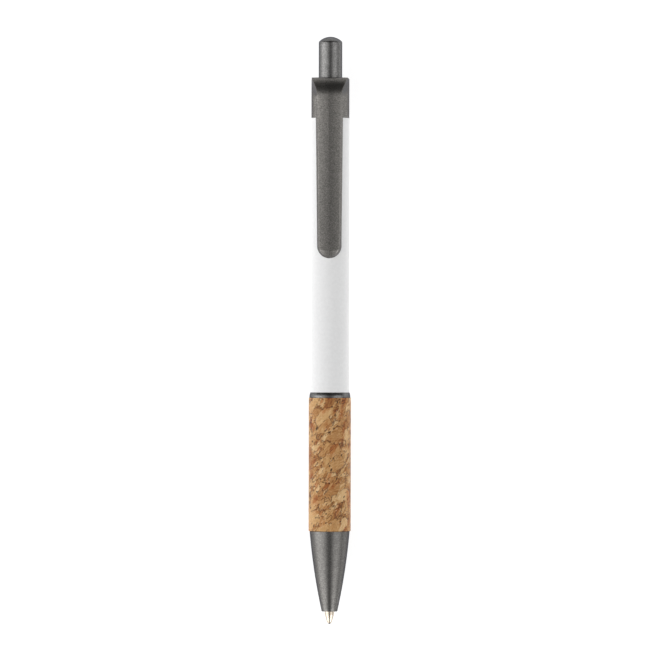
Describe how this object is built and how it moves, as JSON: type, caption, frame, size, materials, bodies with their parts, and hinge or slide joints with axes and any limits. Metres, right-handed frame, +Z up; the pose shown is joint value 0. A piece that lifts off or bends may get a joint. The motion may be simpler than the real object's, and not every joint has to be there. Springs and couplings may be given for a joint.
{
  "type": "retractable ballpoint pen",
  "caption": "Push-button ballpoint pen lying clip up, point out: cork grip, metal cap with flat pocket clip, tapered nose, white barrel and a ratchet mechanism inside.",
  "frame": {"origin": "under the middle of the pen's length, level with the cork's lowest line", "axes": "+Y along the pen from its point to its button, +Z up, the side that the clip is on"},
  "size_m": [0.0102, 0.1408, 0.0126],
  "materials": {
    "gunmetal": "satin gunmetal with fine metallic grain",
    "satin_white": "satin white lacquer",
    "cork": "bare agglomerated cork",
    "white_plastic": "moulded",
    "dark_plastic": "moulded",
    "clear_plastic": "translucent",
    "ink": "wet",
    "spring_steel": "drawn wire",
    "nickel_silver": "turned",
    "ball_steel": "ground"
  },
  "bodies": {
    "barrel": {"barrel_tube": "satin_white", "cap_shell": "gunmetal", "cam_sleeve": "white_plastic", "trim_ring": "gunmetal", "grip_core": "white_plastic", "cork_sleeve": "cork", "return_spring": "spring_steel"},
    "plunger": {"push_button": "gunmetal", "thrust_tube": "white_plastic"},
    "refill": {"refill_tube": "clear_plastic", "ink_column": "ink", "tip_holder": "dark_plastic", "writing_tip": "nickel_silver"},
    "rotor": {"rotor": "dark_plastic"},
    "tip_ball": {"tip_ball": "ball_steel"},
    "clip": {"clip": "gunmetal"},
    "nose_cone": {"nose_cone": "gunmetal"}
  },
  "joints": [
    {"name": "push", "type": "slide", "parent": "barrel", "child": "plunger", "axis": [0, -1, 0], "range_m": [-0.0045, 0.0015], "stiffness_N_per_m": 30},
    {"name": "refill_slide", "type": "slide", "parent": "barrel", "child": "refill", "axis": [0, -1, 0], "range_m": [-0.0045, 0.0015], "deforming": ["return_spring"]},
    {"name": "rotor_turn", "type": "hinge", "parent": "refill", "child": "rotor", "pos_m": [0, 0.0416, 0.00507], "axis": [0, 1, 0], "range_deg": [-16, 46]},
    {"name": "ball_roll", "type": "hinge", "parent": "refill", "child": "tip_ball", "pos_m": [0, -0.07005, 0.00507], "axis": [1, 0, 0], "continuous": true},
    {"name": "clip_flex", "type": "hinge", "parent": "barrel", "child": "clip", "pos_m": [0, 0.0562, 0.01195], "axis": [-1, 0, 0], "range_deg": [0, 4], "stiffness_Nm_per_rad": 1},
    {"name": "nose_cone_off", "type": "slide", "parent": "barrel", "child": "nose_cone", "axis": [0, -1, 0], "range_m": [0, 0.03]}
  ],
  "couplings": [
    {"joint": "refill_slide", "follows": "push", "ratio": 1},
    {"joint": "rotor_turn", "follows": "push", "rad_per_m": -174.53}
  ]
}
